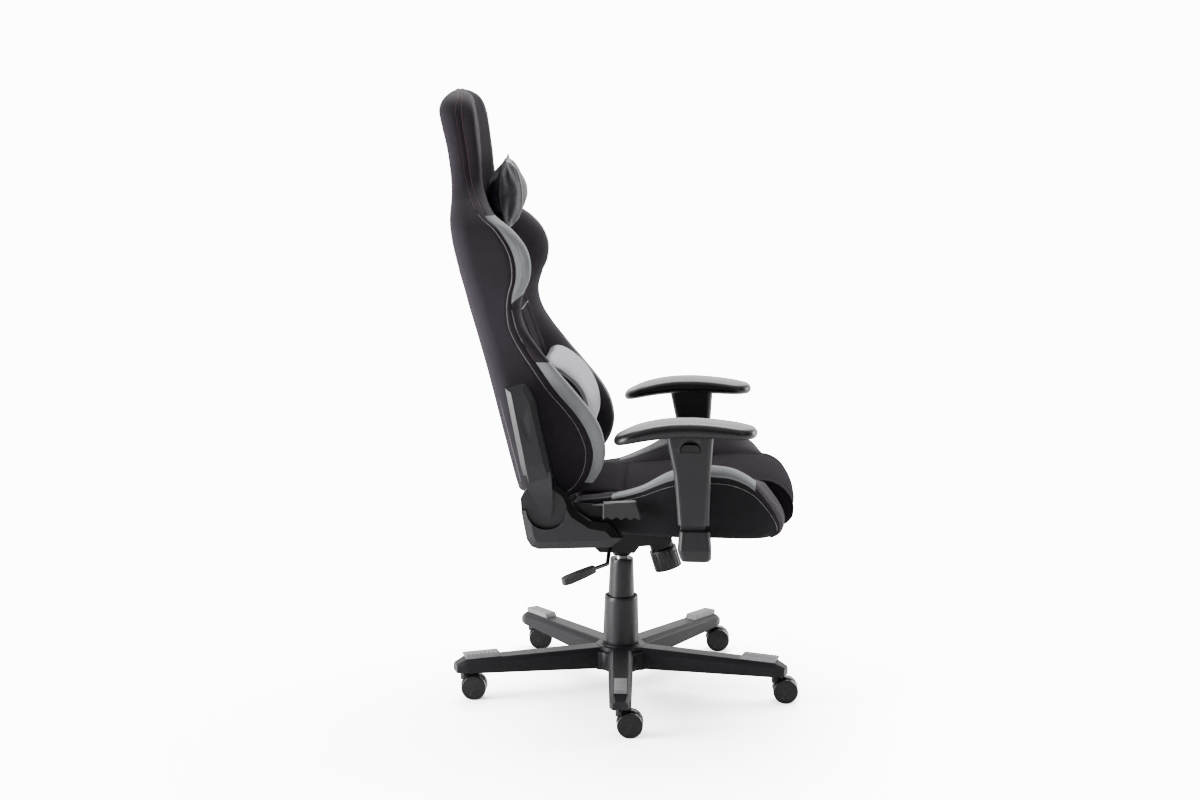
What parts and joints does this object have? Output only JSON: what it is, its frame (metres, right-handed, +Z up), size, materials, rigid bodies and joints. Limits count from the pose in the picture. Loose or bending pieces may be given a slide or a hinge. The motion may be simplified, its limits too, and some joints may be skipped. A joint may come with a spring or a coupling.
{
  "type": "gaming chair",
  "caption": "Racing-style swivel chair with winged reclining back, bolstered seat, height-adjustable armrests, head and lumbar pillows, star base and twin-wheel casters.",
  "frame": {"origin": "on the floor, under the gas column's axis", "axes": "+Z up; the chair faces -Y; the sitter's right-hand side, with the levers, is -X"},
  "size_m": [0.6844, 0.7369, 1.2403],
  "materials": {
    "fabric_black": "fine woven upholstery, matte, slightly aubergine black",
    "fabric_grey": "light grey knitted mesh accent",
    "fabric_head": "smooth bluish charcoal cover",
    "fabric_lumbar": "satin grey-lilac cover",
    "thread": "contrast thread, whitish and dusty red",
    "dark_plastic": "satin charcoal moulding",
    "arm_pu": "soft skinned polyurethane, satin",
    "base_nylon": "grained black nylon",
    "pad_grey": "light grey ribbed foot pad",
    "caster_nylon": "black nylon with polished rims",
    "black_steel": "black powder coat",
    "bright_steel": "zinc plated"
  },
  "bodies": {
    "base": {"star_base": "base_nylon", "leg_pads": "pad_grey", "gas_cylinder": "black_steel", "cylinder_guide": "dark_plastic", "column_cover_lower": "dark_plastic"},
    "rotor": {"piston_rod": "bright_steel", "thrust_bearing": "bright_steel"},
    "cover_middle": {"column_cover_middle": "dark_plastic"},
    "carriage": {"gas_spring_tube": "bright_steel", "column_cover_upper": "dark_plastic", "tilt_housing": "black_steel", "tilt_pivot_pin": "bright_steel", "tension_spring": "bright_steel"},
    "knob": {"tension_knob": "dark_plastic"},
    "height_lever": {"height_lever_rod": "black_steel", "height_lever_grip": "dark_plastic"},
    "seat": {"tilt_top_plate": "black_steel", "seat_frame": "black_steel", "seat_pan": "dark_plastic", "seat_cushion": "fabric_black", "seat_bolster_right": "fabric_black", "seat_bolster_left": "fabric_black", "side_cover_right": "dark_plastic", "side_cover_left": "dark_plastic", "hinge_plate_right": "black_steel", "hinge_plate_left": "black_steel", "recliner_cross_shaft": "bright_steel", "arm_bracket_right": "black_steel", "arm_bracket_left": "black_steel", "arm_cup_right": "dark_plastic", "arm_cup_left": "dark_plastic"},
    "arm_right": {"arm_sleeve_right": "dark_plastic", "arm_pad_right": "arm_pu"},
    "arm_left": {"arm_sleeve_left": "dark_plastic", "arm_pad_left": "arm_pu"},
    "button_right": {"arm_button_right": "dark_plastic"},
    "button_left": {"arm_button_left": "dark_plastic"},
    "back": {"back_frame": "black_steel", "recline_plate_right": "black_steel", "recline_plate_left": "black_steel", "back_arm_cover_right": "dark_plastic", "back_arm_cover_left": "dark_plastic", "back_cushion": "fabric_black", "back_bolster_right": "fabric_black", "back_bolster_left": "fabric_black"},
    "head_cushion": {"head_pillow": "fabric_head"},
    "lumbar_cushion": {"lumbar_pillow": "fabric_lumbar"},
    "recline_lever": {"recline_lever_arm": "black_steel", "recline_lever_grip": "dark_plastic"},
    "caster_1": {"caster_hood_1": "caster_nylon"},
    "wheels_1": {"caster_wheels_1": "caster_nylon"},
    "caster_2": {"caster_hood_2": "caster_nylon"},
    "wheels_2": {"caster_wheels_2": "caster_nylon"},
    "caster_3": {"caster_hood_3": "caster_nylon"},
    "wheels_3": {"caster_wheels_3": "caster_nylon"},
    "caster_4": {"caster_hood_4": "caster_nylon"},
    "wheels_4": {"caster_wheels_4": "caster_nylon"},
    "caster_5": {"caster_hood_5": "caster_nylon"},
    "wheels_5": {"caster_wheels_5": "caster_nylon"}
  },
  "joints": [
    {"name": "seat_swivel", "type": "hinge", "parent": "base", "child": "rotor", "pos_m": [0, 0, 0.15], "axis": [0, 0, 1], "continuous": true},
    {"name": "seat_lift", "type": "slide", "parent": "rotor", "child": "carriage", "axis": [0, 0, 1], "range_m": [0, 0.1]},
    {"name": "cover_slide", "type": "slide", "parent": "rotor", "child": "cover_middle", "axis": [0, 0, 1], "range_m": [0, 0.05]},
    {"name": "tension_turn", "type": "hinge", "parent": "carriage", "child": "knob", "pos_m": [0, -0.085, 0.296], "axis": [0, -0.3024, -0.9532], "continuous": true},
    {"name": "height_lever_pull", "type": "hinge", "parent": "carriage", "child": "height_lever", "pos_m": [0, 0.023, 0.306], "axis": [1, 0, 0], "range_deg": [0, 12], "stiffness_Nm_per_rad": 0.8, "springref_deg": -22.92},
    {"name": "seat_tilt", "type": "hinge", "parent": "carriage", "child": "seat", "pos_m": [0, -0.06, 0.338], "axis": [-1, 0, 0], "range_deg": [0, 10], "stiffness_Nm_per_rad": 220, "springref_deg": -20.05},
    {"name": "arm_height_right", "type": "slide", "parent": "seat", "child": "arm_right", "axis": [0, 0, 1], "range_m": [0, 0.07]},
    {"name": "arm_height_left", "type": "slide", "parent": "seat", "child": "arm_left", "axis": [0, 0, 1], "range_m": [0, 0.07]},
    {"name": "arm_release_right", "type": "slide", "parent": "arm_right", "child": "button_right", "axis": [0, 0, 1], "range_m": [0, 0.003], "stiffness_N_per_m": 600, "springref_m": -0.002},
    {"name": "arm_release_left", "type": "slide", "parent": "arm_left", "child": "button_left", "axis": [0, 0, 1], "range_m": [0, 0.003], "stiffness_N_per_m": 600, "springref_m": -0.002},
    {"name": "back_recline", "type": "hinge", "parent": "seat", "child": "back", "pos_m": [0, 0.139, 0.431], "axis": [-1, 0, 0], "range_deg": [0, 45]},
    {"name": "head_pillow_slide", "type": "slide", "parent": "back", "child": "head_cushion", "axis": [0, 0.105, 0.9945], "range_m": [0, 0.03]},
    {"name": "lumbar_pillow_slide", "type": "slide", "parent": "back", "child": "lumbar_cushion", "axis": [0, 0.2453, 0.9694], "range_m": [0, 0.03]},
    {"name": "recline_lever_pull", "type": "hinge", "parent": "seat", "child": "recline_lever", "pos_m": [-0.243, 0.139, 0.431], "axis": [-1, 0, 0], "range_deg": [0, 20], "stiffness_Nm_per_rad": 2.5, "springref_deg": -22.92},
    {"name": "caster_swivel_1", "type": "hinge", "parent": "base", "child": "caster_1", "pos_m": [-0.33675, -0.01294, 0.06], "axis": [0, 0, 1], "continuous": true},
    {"name": "wheel_spin_1", "type": "hinge", "parent": "caster_1", "child": "wheels_1", "pos_m": [-0.33675, -0.03244, 0.025], "axis": [1, 0, 0], "continuous": true},
    {"name": "caster_swivel_2", "type": "hinge", "parent": "base", "child": "caster_2", "pos_m": [-0.09176, -0.32427, 0.06], "axis": [0, 0, 1], "continuous": true},
    {"name": "wheel_spin_2", "type": "hinge", "parent": "caster_2", "child": "wheels_2", "pos_m": [-0.09176, -0.34377, 0.025], "axis": [1, 0, 0], "continuous": true},
    {"name": "caster_swivel_3", "type": "hinge", "parent": "base", "child": "caster_3", "pos_m": [0.28004, -0.18747, 0.06], "axis": [0, 0, 1], "continuous": true},
    {"name": "wheel_spin_3", "type": "hinge", "parent": "caster_3", "child": "wheels_3", "pos_m": [0.28004, -0.20697, 0.025], "axis": [1, 0, 0], "continuous": true},
    {"name": "caster_swivel_4", "type": "hinge", "parent": "base", "child": "caster_4", "pos_m": [0.26483, 0.2084, 0.06], "axis": [0, 0, 1], "continuous": true},
    {"name": "wheel_spin_4", "type": "hinge", "parent": "caster_4", "child": "wheels_4", "pos_m": [0.26483, 0.1889, 0.025], "axis": [1, 0, 0], "continuous": true},
    {"name": "caster_swivel_5", "type": "hinge", "parent": "base", "child": "caster_5", "pos_m": [-0.11636, 0.31627, 0.06], "axis": [0, 0, 1], "continuous": true},
    {"name": "wheel_spin_5", "type": "hinge", "parent": "caster_5", "child": "wheels_5", "pos_m": [-0.11636, 0.29677, 0.025], "axis": [1, 0, 0], "continuous": true}
  ],
  "couplings": [
    {"joint": "cover_slide", "follows": "seat_lift", "ratio": 0.5}
  ]
}
